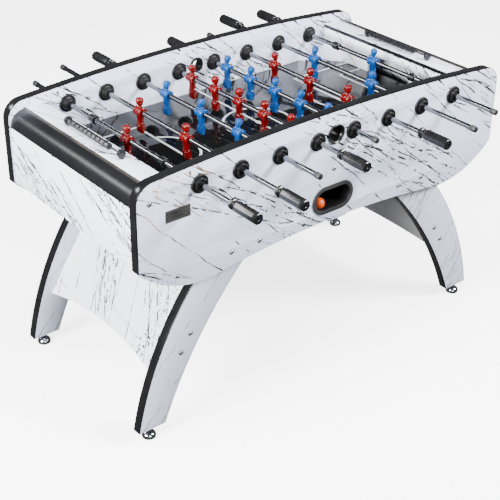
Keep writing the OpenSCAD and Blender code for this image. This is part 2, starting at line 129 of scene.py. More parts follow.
def laminate(name, turn, base=(0.66, 0.67, 0.70), band=(0.41, 0.31), spread=0.0, lines=1.0, tint=False, flecks=0.0,
             flat=False, weight=1.0):
    """White laminate with broken dark veins that run along the turned X axis.

    band is where the first cluster of veins lies and how far apart the clusters are, in metres across the veins.
    spread widens the clusters, lines scales how dark all the veins are and weight how wide, flecks adds small dark
    flakes, and flat is for level boards.
    """
    m, nt, make, bsdf = tree(name)
    at = place(make, turn=turn)
    axes = make("SeparateXYZ", {0: at}).outputs
    u, v = axes[0], axes[1 if flat else 2]

    def times(a, b):
        return math_of(make, "MULTIPLY", a, b)

    def plus(a, b):
        return math_of(make, "ADD", a, b)

    def field(along, across, seed, detail=2.0):
        p = make("CombineXYZ", {0: times(u, along), 1: times(v, across), 2: seed}).outputs[0]
        return noise(make, p, 1.0, detail, 0.5)

    def family(per_m, half_mm, keep, dash, seed, slope=0.0, dash_at=0.5):
        """Wandering lines, per_m of them to a metre, each one kept or dropped and broken into dashes on its own."""
        bend = 0.0
        for along, across, metres in ((2.2, 5.0, 0.060), (13.0, 17.0, 0.016), (60.0, 60.0, 0.0036)):
            bend = plus(bend, times(field(along, across, seed + along), metres))
        f = times(plus(plus(v, times(u, slope)), bend), per_m)
        line_no = math_of(make, "FLOOR", f)
        off = math_of(make, "ABSOLUTE", math_of(make, "SUBTRACT", math_of(make, "FRACT", f), 0.5))
        thick = times(span(make, field(38.0, 38.0, seed + 5.0), 0.35, 0.65, 0.45, 1.25), half_mm * weight * MM * per_m)
        line = span(make, math_of(make, "DIVIDE", off, thick), 1.15, 0.7)
        luck = make("TexWhiteNoise", {"W": plus(line_no, seed)}, noise_dimensions="1D").outputs["Value"]
        kept = span(make, luck, keep + 0.12, keep)
        p = make("CombineXYZ", {0: times(u, dash), 1: times(line_no, 5.3), 2: seed}).outputs[0]
        broken = span(make, noise(make, p, 1.0, 3.0, 0.65), dash_at - 0.02, dash_at + 0.02)
        return times(times(line, kept), broken)

    swell = math_of(make, "COSINE", times(math_of(make, "SUBTRACT", v, band[0]), 2 * math.pi / band[1]))
    cluster = plus(times(swell, 0.5), times(field(2.6, 8.0, 11.7, 3.0), 2.4))
    near = span(make, cluster, 1.20 - spread, 1.40 - spread)
    core = span(make, cluster, 1.40 - spread, 1.60 - spread)
    bold = math_of(make, "MAXIMUM", family(33, 2.2, 0.9, 21, 3.1, 0.05, 0.48),
                   family(26, 2.0, 0.85, 27, 17.3, -0.14, 0.48))
    fine = family(64, 1.4, 0.65, 48, 29.9, 0.12, 0.52)
    long = family(11, 1.5, 0.65, 12, 37.7, 0.2, 0.47)
    faint = times(family(8, 1.0, 0.7, 8, 43.1, -1.1, 0.52), 0.7)
    cross = family(24, 1.4, 0.7, 24, 51.1, 2.6, 0.50)
    ink_amount = 0.0
    for part in (times(bold, near), times(fine, core), long, faint, times(cross, core)):
        ink_amount = math_of(make, "MAXIMUM", ink_amount, part)
    ink_amount = times(ink_amount, lines)
    if flecks:
        flake = make("TexVoronoi", {"Vector": at, "Scale": 95.0, "Randomness": 1.0}).outputs
        size = span(make, flake["Color"], 0.2, 0.8, 0.08, 0.46)
        dot = math_of(make, "LESS_THAN", flake["Distance"], size)
        spot = make("SeparateXYZ", {0: make("TexCoord").outputs["Object"]}).outputs
        where = span(make, plus(field(5.0, 16.0, 71.3, 3.0), span(make, math_of(make, "ABSOLUTE", plus(
            spot[1], 0.19)), 0.02, 0.10, 0.08, -0.3)), 0.52, 0.60)
        ink_amount = math_of(make, "MAXIMUM", ink_amount, times(times(dot, where), flecks))
    body = mix(make, span(make, field(3.0, 3.0, 5.0, 3.0), 0.35, 0.7), base, [c * 0.955 for c in base])
    ink = (0.010, 0.011, 0.015)
    if tint:
        spot = make("SeparateXYZ", {0: make("TexCoord").outputs["Object"]}).outputs
        near_top = times(span(make, spot[0], -0.44, -0.50), span(make, spot[2], 0.69, 0.73))
        near_top = times(near_top, span(make, spot[1], 0.0, -0.1))
        warm = times(near_top, span(make, field(14.0, 26.0, 53.7), 0.40, 0.50))
        ink = mix(make, warm, ink, (0.34, 0.19, 0.10))
    else:
        ink = (*ink, 1)
    shade = make("Mix", {0: ink_amount, 6: body, 7: ink}, data_type="RGBA")
    nt.links.new(shade.outputs[2], bsdf.inputs["Base Color"])
    gloss = noise(make, at, 40.0, 4.0, 0.6)
    nt.links.new(span(make, gloss, 0.3, 0.7, 0.28, 0.38), bsdf.inputs["Roughness"])
    skin = noise(make, at, 700.0, 2.0, 0.6)
    height = math_of(make, "SUBTRACT", skin, times(ink_amount, 0.6))
    nt.links.new(make("Bump", {"Strength": 0.06, "Distance": 0.0003, "Height": height}).outputs[0],
                 bsdf.inputs["Normal"])
    bsdf.inputs["Specular IOR Level"].default_value = 0.4
    return m


WHITE_SIDE = laminate("laminate_side", (0, -32, 0), base=(0.60, 0.65, 0.79), band=(0.41, 0.31), tint=True,
                      weight=1.2)
# the end copy has a lighter base than the sides: painted light for the lit end boards
WHITE_END_LIT = laminate("laminate_end_painted_light", (-30, 0, 90), base=(0.80, 0.82, 0.88), band=(0.78, 0.30), weight=1.55)
WHITE_TOP = laminate("laminate_top", (0, 0, 62), base=(0.60, 0.64, 0.75), band=(0.10, 0.22), flat=True, weight=1.4)
# the leg copy has a darker base than the sides: painted shade for the legs
WHITE_LEG_SHADED = laminate("laminate_leg_painted_shade", (0, 60, 0), base=(0.49, 0.525, 0.63), band=(0.95, 0.5), spread=-0.1, lines=0.6,
                     weight=1.2)
WHITE_APRON = laminate("laminate_apron", (-58, 0, 90), base=(0.66, 0.68, 0.73), band=(0.1, 0.26), spread=-0.2,
                       flecks=1.0, weight=1.4)
# flat mid grey for the leg boards' inner faces: painted shade standing in for the shade under the table
SHADE_GREY = plain("grey_painted_shade", (0.58, 0.58, 0.582), 0.5, vary=0.05, grain=12, bump=0.1)
FLOOR_BOARD = plain("white_board", (0.74, 0.73, 0.71), 0.55, vary=0.04, grain=12, bump=0.15)
BAND = plain("black_banding", (0.0045, 0.0045, 0.005), 0.20, vary=0.3, grain=14, rough_vary=0.03, bump=0.02)
CAP_BLACK = plain("cap_black", (0.005, 0.0052, 0.0062), 0.31, vary=0.35, grain=4, rough_vary=0.04, bump=0.02,
                  specular=0.28)
CAP_FLAT = plain("cap_flat", (0.030, 0.026, 0.023), 0.40, vary=0.25, grain=18, bump=0.1)
PLASTIC = plain("black_plastic", (0.005, 0.005, 0.0055), 0.42, vary=0.3, grain=35, bump=0.08, specular=0.25)
FIELD = plain("field_black", (0.003, 0.003, 0.0035), 0.045, vary=0.3, grain=6, rough_vary=0.02, bump=0.02,
              bump_grain=300, specular=0.09)
BEZEL = plain("bezel_black", (0.022, 0.022, 0.0225), 0.38, vary=0.2, grain=35, bump=0.06)
LINE = plain("field_line", (0.42, 0.45, 0.46), 0.25, vary=0.06, grain=20, bump=0.05)
# the rod copy of the chrome is far darker than the chrome below: painted shade that dims the rods' reflections and
# highlight
TUBE_SHADED = plain("rod_chrome_painted_shade", (0.19, 0.195, 0.205), 0.14, metal=1.0, vary=0.05, rough_vary=0.015, grain=12, bump=0.002,
             bump_grain=300)
CHROME = plain("chrome", (0.50, 0.51, 0.53), 0.08, metal=1.0, vary=0.05, rough_vary=0.015, grain=12, bump=0.004,
               bump_grain=300)
# the bolt copy of the chrome is lighter than the chrome above: painted light that brightens the caps' highlight
BOLT_LIT = plain("bolt_chrome_painted_light", (0.75, 0.76, 0.78), 0.32, metal=1.0, vary=0.2, rough_vary=0.04, grain=90, bump=0.01)
STEEL = plain("collar_steel", (0.06, 0.062, 0.065), 0.30, metal=1.0, vary=0.2, grain=40, bump=0.02)
RUBBER = plain("rubber", (0.012, 0.012, 0.013), 0.42, vary=0.25, grain=60, bump=0.08)
GRIP = plain("grip_black", (0.005, 0.005, 0.0055), 0.20, vary=0.3, grain=30, rough_vary=0.03, bump=0.012)
CUP = plain("cup_black", (0.003, 0.003, 0.0035), 0.30, vary=0.3, grain=30, rough_vary=0.03, bump=0.02, specular=0.4)
BEAD = plain("bead_grey", (0.010, 0.0105, 0.012), 0.20, vary=0.25, grain=50, rough_vary=0.04, bump=0.02, specular=0.3)
PLATE = plain("plate", (0.040, 0.040, 0.039), 0.42, metal=0.5, vary=0.4, grain=14, bump=0.1, stretch=(1, 1, 14),
              second=(0.085, 0.085, 0.083))
RED = plain("red_plastic", (0.085, 0.0, 0.0), 0.15, vary=0.14, grain=70, rough_vary=0.04, bump=0.02, specular=0.35)
BLUE = plain("blue_plastic", (0.0, 0.036, 0.155), 0.16, vary=0.14, grain=70, rough_vary=0.04, bump=0.02,
             specular=0.35)
# near-black painted shade, laid on the bolt rims, bolt sockets, the men's screw holes and the collars' set-screw holes
# in place of their shade
PAINTED_SHADE = plain("recess_painted_shade", (0.004, 0.004, 0.004), 0.6, vary=0.2, grain=80, bump=0.1)
BALL = plain("ball_orange", (0.55, 0.060, 0.0), 0.32, vary=0.10, grain=60, bump=0.2, bump_grain=500)
GROUND = plain("ground", (0.90, 0.90, 0.90), 0.65, vary=0.01, grain=2, bump=0.03)
glow = GROUND.node_tree.nodes["Principled BSDF"]
glow.inputs["Emission Color"].default_value = (1, 1, 1, 1)
glow.inputs["Emission Strength"].default_value = 3.2


# ---------------------------------------------------------------- mesh tools

def circle_ring(axis, c, t, r, n=32, shape=None):
    """Points round an axis line through c at station t. shape scales the radius by angle."""
    out = []
    for i in range(n):
        a = 2 * math.pi * i / n
        k = r * (shape(a) if shape else 1.0)
        u, v = k * math.cos(a), k * math.sin(a)
        out.append({"x": (t, c[0] + u, c[1] + v), "y": (c[0] + u, t, c[1] + v), "z": (c[0] + u, c[1] + v, t)}[axis])
    return out


def oval_ring(c, rx, ry, z, n=20, power=1.0):
    """A level oval, or with a power below 1 a rounded rectangle, centred on c."""
    out = []
    for i in range(n):
        a = 2 * math.pi * i / n
        u, v = math.cos(a), math.sin(a)
        u = math.copysign(abs(u) ** power, u)
        v = math.copysign(abs(v) ** power, v)
        out.append((c[0] + rx * u, c[1] + ry * v, z))
    return out


def octagon(a):
    """Radius of a slightly rounded octagon."""
    step = math.pi / 4
    off = (a + step / 2) % step - step / 2
    return min(math.cos(step / 2) / math.cos(off), 0.990)


class Build:
    """Faces collected in millimetres, each with the number of its material."""

    def __init__(self):
        self.v, self.f, self.m = [], [], []

    def add(self, verts, faces, m=0):
        base = len(self.v)
        self.v += [tuple(p) for p in verts]
        self.f += [tuple(base + i for i in f) for f in faces]
        self.m += [m] * len(faces)
        return self

    def loft(self, rings, m=0, caps=(True, True)):
        n = len(rings[0])
        verts = [p for ring in rings for p in ring]
        faces = [(j * n + i, j * n + (i + 1) % n, (j + 1) * n + (i + 1) % n, (j + 1) * n + i)
                 for j in range(len(rings) - 1) for i in range(n)]
        if caps[0]:
            faces.append(tuple(range(n))[::-1])
        if caps[1]:
            faces.append(tuple(range((len(rings) - 1) * n, len(rings) * n)))
        return self.add(verts, faces, m)

    def turn(self, axis, c, profile, m=0, n=32, shape=None, caps=(True, True), loop=False):
        """Profile of (station, radius) turned about an axis. loop joins its last point to its first."""
        rings = [circle_ring(axis, c, t, r, n, shape) for t, r in profile]
        if loop:
            return self.loft(rings + [rings[0]], m, (False, False))
        return self.loft(rings, m, caps)

    def block(self, lo, hi, bevel=0.0, m=0, segments=2):
        bm = bmesh.new()
        bmesh.ops.create_cube(bm, size=1)
        for v in bm.verts:
            v.co = [lo[i] + (v.co[i] + 0.5) * (hi[i] - lo[i]) for i in range(3)]
        if bevel:
            bmesh.ops.bevel(bm, geom=bm.edges[:], offset=bevel, segments=segments, affect="EDGES", profile=0.5)
        return self.take(bm, m)

    def ball(self, c, r, m=0, detail=2):
        bm = bmesh.new()
        bmesh.ops.create_icosphere(bm, subdivisions=detail, radius=1)
        for v in bm.verts:
            v.co = [c[i] + v.co[i] * (r[i] if hasattr(r, "__len__") else r) for i in range(3)]
        return self.take(bm, m)

    def take(self, bm, m=0):
        bm.verts.ensure_lookup_table()
        verts = [tuple(v.co) for v in bm.verts]
        faces = [tuple(v.index for v in f.verts) for f in bm.faces]
        bm.free()
        return self.add(verts, faces, m)

    def plate(self, loops, y0, y1, bevel=0.6, m=0, swap=None):
        """Outline and hole loops of (x, z) made y0 to y1 thick, with rounded edges."""
        cu = bpy.data.curves.new("outline", "CURVE")
        cu.dimensions = "2D"
        cu.fill_mode = "BOTH"
        for loop in loops:
            s = cu.splines.new("POLY")
            s.points.add(len(loop) - 1)
            for p, (x, z) in zip(s.points, loop):
                p.co = (x, z, 0, 1)
            s.use_cyclic_u = True
        cu.extrude = (y1 - y0) / 2 - bevel
        cu.bevel_depth = bevel
        cu.bevel_resolution = 1
        cu.offset = -bevel
        o = bpy.data.objects.new("outline", cu)
        bpy.context.scene.collection.objects.link(o)
        bpy.context.view_layer.update()
        mesh = bpy.data.meshes.new_from_object(o.evaluated_get(bpy.context.evaluated_depsgraph_get()))
        mid = (y0 + y1) / 2
        verts = [(v.co.x, mid + v.co.z, v.co.y) for v in mesh.vertices]
        if swap:
            verts = [swap(p) for p in verts]
        faces = [tuple(p.vertices) for p in mesh.polygons]
        bpy.data.objects.remove(o)
        bpy.data.meshes.remove(mesh)
        return self.add(verts, faces, m)

    def mirrored(self, sx=1, sy=1, off=(0, 0, 0)):
        """A copy with X and Y multiplied by the signs, and moved."""
        b = Build()
        b.v = [(x * sx + off[0], y * sy + off[1], z + off[2]) for x, y, z in self.v]
        b.f, b.m = list(self.f), list(self.m)
        return b

    def join(self, other):
        base = len(self.v)
        self.v += other.v
        self.f += [tuple(base + i for i in f) for f in other.f]
        self.m += other.m
        return self

    def mesh(self, name, mats, angle=38, bevel=0.0, bevel_angle=50):
        me = bpy.data.meshes.new(name)
        me.from_pydata([(x * MM, y * MM, z * MM) for x, y, z in self.v], [], self.f)
        for mat in mats:
            me.materials.append(mat)
        me.polygons.foreach_set("material_index", self.m)
        bm = bmesh.new()
        bm.from_mesh(me)
        bmesh.ops.remove_doubles(bm, verts=bm.verts, dist=0.00002)
        bmesh.ops.recalc_face_normals(bm, faces=bm.faces)
        if bevel:
            sharp = [e for e in bm.edges if len(e.link_faces) == 2
                     and e.calc_face_angle(0) > math.radians(bevel_angle)]
            bmesh.ops.bevel(bm, geom=sharp, offset=bevel * MM, segments=2, affect="EDGES", profile=0.5,
                            clamp_overlap=True)
        bm.to_mesh(me)
        bm.free()
        me.shade_smooth()
        me.set_sharp_from_angle(angle=math.radians(angle))
        return me


def show(name, me, body, nodes=(), at=(0, 0, 0), turn=0.0):
    """Puts a mesh in the scene on its CAD body, in place of its CAD nodes."""
    o = bpy.data.objects.new(name, me)
    bpy.context.scene.collection.objects.link(o)
    o.location = [c * MM for c in at]
    o.rotation_euler = (0, 0, turn)
    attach(o, body)
    if nodes:
        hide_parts(*nodes)
    return o


def put(build, name, mats, body="table", slot="laminate", nodes=None, **more):
    return show(name + "_skin", build.mesh(name + "_skin", mats, **more), body,
                [name] if nodes is None else nodes)


# ---------------------------------------------------------------- sizes

lo, hi = (lambda b: ([c / MM for c in b[0]], [c / MM for c in b[1]]))(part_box("edge_bands"))
HALF_LEN, HALF_W, CROWN, BASE = hi[0], hi[1], hi[2], lo[2]
BOARD = 32.0
INNER = HALF_W - BOARD
FIELD_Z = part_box("playfield")[1].z / MM
SHELF_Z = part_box("end_shelves")[1].z / MM
ROD_Z = 827.5
PITCH = 143.0
BAND_T = 2.0
RODS = range(1, 9)
COUNT = (1, 2, 3, 5, 5, 3, 2, 1)
GAP = (0, 242, 184, 124, 124, 178, 276, 0)
SIDE = (-1, -1, 1, -1, 1, -1, 1, 1)
REST = (-7, 17, 14, 7, 4, -2, -2, 0)
GRIP_START = (496, 540, 494, 465, 465, 494, 540, 496)
CAP_MID = (530, 574, 538, 456, 456, 538, 574, 530)


def rod_x(k):
    return (k - 4.5) * PITCH


def arc(cx, cz, r, a0, a1, n):
    return [(cx + r * math.cos(math.radians(a0 + (a1 - a0) * i / n)),
             cz + r * math.sin(math.radians(a0 + (a1 - a0) * i / n))) for i in range(n + 1)]


def flip(points):
    return [(-x, z) for x, z in reversed(points)]


def upper_half(inset):
    """From the top of the end to the crown."""
    r, corner = 7850.0, 60.0
    cx = HALF_LEN - corner
    cz = CROWN - r + math.sqrt((r - corner) ** 2 - cx ** 2)
    last = 90 - math.degrees(math.asin(cx / (r - corner)))
    k = r - inset
    tops = [(cx * (1 - i / 24), CROWN - r + math.sqrt(k * k - (cx * (1 - i / 24)) ** 2)) for i in range(1, 25)]
    return arc(cx, cz, corner - inset, 0, last, 20) + tops


def lower_half(inset):
    """From the middle of the lower edge out to the end."""
    lobe_x, lobe_z, lobe_r, waist_z, waist_r = 478.0, 513.0, 325.0, 548.0, 3100.0
    drop = waist_z - lobe_z
    blend_r = (lobe_x ** 2 + drop ** 2) / (2 * drop) - waist_r
    turn = math.degrees(math.atan2(lobe_z + blend_r - (waist_z - waist_r), lobe_x))
    reach = math.degrees(math.asin((HALF_LEN - lobe_x) / lobe_r))
    points = (arc(0, waist_z - waist_r, waist_r, 90, turn, 20)
              + arc(lobe_x, lobe_z + blend_r, blend_r, 180 + turn, 270, 8)
              + arc(lobe_x, lobe_z + lobe_r, lobe_r, 270, 270 + reach, 24))
    return [(min(x, HALF_LEN - inset), z) for x, z in points]


def tidy(points):
    """Drops points that repeat."""
    out = []
    for p in points:
        if not out or math.dist(p, out[-1]) > 0.05:
            out.append(p)
    if math.dist(out[0], out[-1]) < 0.05:
        out.pop()
    return out


def stadium(w, h, z, n=16):
    k = (w - h) / 2
    return [(x + k, zz + z) for x, zz in arc(0, 0, h / 2, -90, 90, n)] + \
           [(x - k, zz + z) for x, zz in arc(0, 0, h / 2, 90, 270, n)]


# ---------------------------------------------------------------- cabinet

outline = tidy(lower_half(BAND_T) + upper_half(BAND_T) + flip(upper_half(BAND_T)) + flip(lower_half(BAND_T)))
serve = arc(0, 834, 24.1, 0, 360, 40)[:-1]
rod_holes = [arc(rod_x(k), ROD_Z, 15.1, 0, 360, 24)[:-1] for k in RODS]
front = Build().plate([outline, serve, stadium(145.2, 74.2, 622)] + rod_holes, -HALF_W, -INNER, 0.5)
put(front, "side_panel_front", [WHITE_SIDE])
back = Build().plate([outline, serve] + rod_holes, INNER, HALF_W, 0.5)
put(back, "side_panel_back", [WHITE_SIDE])

outer = [(HALF_LEN, BASE)] + upper_half(0) + flip(upper_half(0)) + [(-HALF_LEN, BASE)]
inner = [(HALF_LEN - BAND_T, BASE)] + upper_half(BAND_T) + flip(upper_half(BAND_T)) + [(BAND_T - HALF_LEN, BASE)]
bands = Build()
for y0, y1 in ((-HALF_W, -INNER), (INNER, HALF_W)):
    bands.plate([tidy(outer + inner[::-1])], y0 - 0.25, y1 + 0.25, 0.9)
put(bands, "edge_bands", [BAND], slot="edge_banding")

for side, node in ((-1, "end_panel_left"), (1, "end_panel_right")):
    a, b = sorted((side * 685.0, side * 702.5))
    put(Build().block((a, -INNER, BASE), (b, INNER, 800), 0.5), node, [WHITE_END_LIT])

caps = Build()
for side in (-1, 1):
    prof = [(-644, 850), (-653, 850)] + arc(-653, 800, 50, 90, 180, 28)[1:] + \
           [(-689, 800)] + arc(-653, 800, 36, 180, 90, 20)[1:] + [(-644, 836)]
    b = Build()
    n = len(prof)
    ends = [[(x, y, z) for x, z in prof] for y in (-INNER + 0.05, INNER - 0.05)]
    faces = [(i, (i + 1) % n, n + (i + 1) % n, n + i) for i in range(n)] + [tuple(range(n)), tuple(range(n, 2 * n))]
    b.add(ends[0] + ends[1], faces)
    b.m[0] = b.m[1] = 1
    caps.join(b.mirrored(-side, 1))
put(caps, "corner_caps", [CAP_BLACK, CAP_FLAT], slot="gloss_black", angle=30)

shelves, strips = Build(), Build()
for side in (-1, 1):
    a, b = sorted((side * 575.0, side * 644.0))
    shelves.block((a, -INNER, SHELF_Z - 12), (b, INNER, SHELF_Z), 0.4)
    a, b = sorted((side * 573.0, side * 575.0))
    strips.block((a, -INNER, SHELF_Z - 12), (b, INNER, SHELF_Z + 0.2), 0.5)
put(shelves, "end_shelves", [WHITE_TOP])
put(strips, "shelf_bands", [BAND], slot="edge_banding")

walls = Build()
for side in (-1, 1):
    mouth = [(-98, 741.5)] + arc(-78, 788, 20, 180, 90, 10) + arc(78, 788, 20, 90, 0, 10) + [(98, 741.5)]
    frame_edge = [(-INNER, 742), (-INNER, SHELF_Z - 12), (INNER, SHELF_Z - 12), (INNER, 742), (98, 742)]
    shape = frame_edge + mouth[::-1][1:-1] + [(-98, 742)]
    a, b = sorted((side * 574.0, side * 592.0))
    walls.plate([tidy(shape)], a, b, 0.5, swap=lambda p: (p[1], p[0], p[2]))
put(walls, "goal_walls", [WHITE_END_LIT])

ramps = Build()
for sx in (-1, 1):
    for sy in (-1, 1):
        p = [(-574, 329, 742), (-451, 329, 742), (-574, 220, 742), (-574, 329, 770)]
        b = Build().add(p, [(0, 1, 2), (0, 3, 1), (0, 2, 3), (1, 3, 2)])
        ramps.join(b.mirrored(-sx, sy))
put(ramps, "corner_ramps", [WHITE_TOP])

put(Build().block((-592, -INNER - 6, 730), (592, INNER + 6, FIELD_Z), 0.3), "playfield", [FIELD], slot="field")

lines = Build()


def stroke(points, w, closed=False):
    """A painted line of width w through points on the field."""
    n = len(points)
    left, right = [], []
    for i, (x, y) in enumerate(points):
        p = points[i - 1] if i or closed else points[i]
        q = points[(i + 1) % n] if i < n - 1 or closed else points[i]
        d = Vector((q[0] - p[0], q[1] - p[1])).normalized()
        left.append((x - d.y * w / 2, y + d.x * w / 2))
        right.append((x + d.y * w / 2, y - d.x * w / 2))
    top, low = FIELD_Z + 0.12, FIELD_Z - 0.2
    verts = [(x, y, top) for x, y in left + right] + [(x, y, low) for x, y in left + right]
    steps = range(n if closed else n - 1)
    faces = []
    for i in steps:
        j = (i + 1) % n
        faces += [(i, j, n + j, n + i), (i, 2 * n + i, 2 * n + j, j), (n + i, n + j, 3 * n + j, 3 * n + i),
                  (2 * n + i, 3 * n + i, 3 * n + j, 2 * n + j)]
    if not closed:
        faces += [(0, n, 3 * n, 2 * n), (n - 1, 3 * n - 1, 4 * n - 1, 2 * n - 1)]
    lines.add(verts, faces)


stroke([(0, -324), (0, 324)], 8)
stroke(arc(0, 0, 112, 0, 360, 72)[:-1], 8, True)
lines.turn("z", (0, 0), [(FIELD_Z - 0.2, 9), (FIELD_Z + 0.13, 9)], n=24)
for s in (-1, 1):
    stroke([(s * 573, -203), (s * 328, -203)], 8)
    stroke([(s * 328, -207), (s * 328, 207)], 8)
    stroke([(s * 328, 203), (s * 573, 203)], 8)
    stroke([(s * 573, -133), (s * 475, -133)], 6)
    stroke([(s * 475, -136), (s * 475, 136)], 6)
    stroke([(s * 475, 133), (s * 573, 133)], 6)
    reach = math.degrees(math.acos(40 / 113))
    stroke([(s * x, y) for x, y in arc(368, 0, 113, 180 - reach, 180 + reach, 36)], 8)
    stroke([(-449, s * 325), (449, s * 325)], 5)
put(lines, "field_lines", [LINE], slot="field", nodes=[])

NODES["cabinet_floor"].data.materials.clear()
NODES["cabinet_floor"].data.materials.append(FLOOR_BOARD)
for node in ("ball_channels", "ball_return_tray"):
    NODES[node].data.materials.clear()
    NODES[node].data.materials.append(PLASTIC)

bezel = Build()
bezel.plate([stadium(165, 94, 622, 24), stadium(137, 66, 622, 24)], -HALF_W - 4, -HALF_W - 0.02, 1.9)
bezel.plate([stadium(145, 74, 622, 24), stadium(137, 66, 622, 24)], -HALF_W - 3, -INNER, 0.3, 1)
put(bezel, "ball_return_bezel", [BEZEL, PLASTIC], slot="black_plastic")

ball = Build().ball((-38, -343, 606.8), 17.5, detail=4)
put(ball, "ball", [BALL], body="ball", slot="ball")


# ---------------------------------------------------------------- legs

def leg_outline(inset):
    """Leg of the +X end: outer arc up, then inner arc down."""
    def at(c, r, z):
        return c[0] + math.sqrt(r * r - (z - c[1]) ** 2)
    zs = [36 + (BASE - 36) * i / 30 for i in range(31)]
    up = [(at((-340.5, -167.9), 1071.4 - inset, z), z) for z in zs]
    down = [(at((-722.1, -481.1), 1433.9 + inset, z), z) for z in reversed(zs)]
    return up, down


up0, down0 = leg_outline(0)
up2, down2 = leg_outline(BAND_T)
leg_bands = Build()
for sx, sy, node in ((-1, -1, "leg_front_left"), (1, -1, "leg_front_right"), (-1, 1, "leg_back_left"),
                     (1, 1, "leg_back_right")):
    y0, y1 = sorted((sy * INNER, sy * (INNER - BOARD)))
    leg = Build().plate([[(sx * x, z) for x, z in up2 + down2]], y0, y1, 0.4)
    put(leg, node, [WHITE_LEG_SHADED])
    for a, b in ((up0, up2), (down0, down2)):
        leg_bands.plate([[(sx * x, z) for x, z in a + b[::-1]]], y0 - 0.2, y1 + 0.2, 0.8)
put(leg_bands, "leg_bands", [BAND], slot="edge_banding")

panels = Build()
TILT = math.radians(33)
for side in (-1, 1):
    half = INNER - BOARD
    # the board lies in local Y and Z, its outer face at local X = 0, and is then tilted
    top = (BASE - 300) / math.cos(TILT)
    low = [(y, -91 - 1158 + math.sqrt(1158 ** 2 - y * y)) for y in [half * (1 - i / 15) for i in range(31)]]
    shape = [(-half, 0), (-half, top), (half, top), (half, 0)] + low

    def lean(p, side=side, top=top):
        y, x, z = p
        cut = z
        if z > top - 2:
            cut = z - math.tan(TILT) * (-x)
        return (side * (561 + x * math.cos(TILT) - cut * math.sin(TILT)), y,
                300 + x * math.sin(TILT) + cut * math.cos(TILT))
    panels.plate([tidy(shape)], -BOARD, 0, 0.4, swap=lean)
for i, f in enumerate(panels.f):
    # the inner face of each board is flat grey, painted shade for the board's shaded underside
    x, y, z = (sum(panels.v[j][a] for j in f) / len(f) for a in range(3))
    if abs(x) < 561 - (z - 300) * math.tan(TILT) - 0.97 * BOARD / math.cos(TILT):
        panels.m[i] = 1
put(panels, "leg_panels", [WHITE_APRON, SHADE_GREY])

for sx, sx_name in ((-1, "left"), (1, "right")):
    for sy, sy_name in ((-1, "front"), (1, "back")):
        c = (sx * 667, sy * (INNER - BOARD / 2))
        dome = [(6 + 17.4 * math.sin(math.radians(a)), 22 * math.cos(math.radians(a)) + 0.2) for a in range(0, 76, 6)]
        b = Build()
        b.turn("z", c, [(0.0, 19), (0.6, 20.6), (2, 21.8), (3.4, 22)] + dome + [(23.6, 5.5)], 0, 48)
        b.turn("z", c, [(23.2, 8.4), (23.8, 9.2), (28.6, 9.2), (29.4, 8.4)], 0, 6)
        b.turn("z", c, [(z, 4.6 + 0.4 * (i % 2)) for i, z in enumerate(range(29, 97))], 0, 16)
        node = f"leveler_{sy_name}_{sx_name}"
        put(b, node, [CHROME], body=node, slot="chrome")


# ---------------------------------------------------------------- fittings

def notched(a):
    """Radius of a six-lobed nut."""
    off = (a + math.pi / 6) % (math.pi / 3) - math.pi / 6
    return 0.86 if abs(off) < 0.13 else 0.93 + 0.07 * math.cos(6 * a + math.pi) if abs(off) > 0.17 else 0.9


for side, node in ((-1, "bearings_front"), (1, "bearings_back")):
    b = Build()
    for k in RODS:
        c = (rod_x(k), ROD_Z)
        w, o = side * INNER, side * HALF_W
        b.turn("y", c, [(w, 8.2), (w, 29), (w - side * 2.6, 29), (w - side * 4.2, 28), (w - side * 5, 26),
                        (w - side * 4.6, 21), (w - side * 6, 19), (w - side * 11, 19), (w - side * 12, 18),
                        (w - side * 12.2, 15.6), (w - side * 13, 14.8), (w - side * 15.6, 14.5),
                        (w - side * 15.9, 13.2), (w - side * 16.8, 13.2), (w - side * 17.1, 14.5),
                        (w - side * 19.4, 14.3), (w - side * 20, 13.4), (w - side * 20, 8.2)], 0, 40, loop=True)
        b.turn("y", c, [(o, 8.2), (o, 29), (o + side * 2.2, 29), (o + side * 4.0, 28), (o + side * 5, 26),
                        (o + side * 4.6, 20), (o + side * 4.6, 8.2)], 0, 48, loop=True)
        b.turn("y", c, [(o + side * 4, 8.2), (o + side * 4, 21), (o + side * 11.4, 21), (o + side * 12.8, 19.4),
                        (o + side * 13, 15.5), (o + side * 10.4, 14.8), (o + side * 10.0, 11.8),
                        (o + side * 13, 11.2), (o + side * 13, 8.2)], 0, 72, shape=notched, loop=True)
    put(b, node, [PLASTIC], slot="black_plastic", angle=30)

b = Build()
for side in (-1, 1):
    w, o = side * INNER, side * HALF_W
    b.turn("y", (0, 834), [(w, 18.5), (o - side * 16, 18.5), (o - side * 8, 20), (o, 22.6), (o + side * 3, 25),
                           (o + side * 5.4, 28), (o + side * 6, 29.4), (o + side * 5.2, 30.8), (o + side * 3, 31),
                           (o, 30.6), (o, 24), (w, 24)], 0, 56, loop=True)
    b.turn("y", (0, 834), [(w, 18.5), (w, 25.5), (w - side * 4.4, 25.4), (w - side * 5.8, 24), (w - side * 6, 21),
                           (w - side * 5, 18.8)], 0, 56, loop=True)
put(b, "serve_cups", [CUP], slot="black_plastic", angle=30)

b = Build()
bx, bz = 608.5, 864.0
for side in (-1, 1):
    c = (side * bx, bz)
    b.turn("y", c, [(-142, 3), (142, 3)], 0, 16)
    for s in (-1, 1):
        y = s * 142
        b.turn("y", c, [(y - 6, 10.6), (y - 5.2, 12.4), (y - 3.6, 13), (y + 3.6, 13), (y + 5.2, 12.4), (y + 6, 10.6)],
               0, 36)
        b.turn("y", c, [(y - 6.2, 3.6), (y - 6.2, 7), (y + 6.2, 7), (y + 6.2, 3.6)], 0, 24)
        b.turn("z", (side * bx, y), [(839.2, 3), (849.9, 3), (850.2, 7.5), (851.5, 7), (855, 5)], 0, 20)
put(b, "scorer_rails", [BEAD], slot="bead")


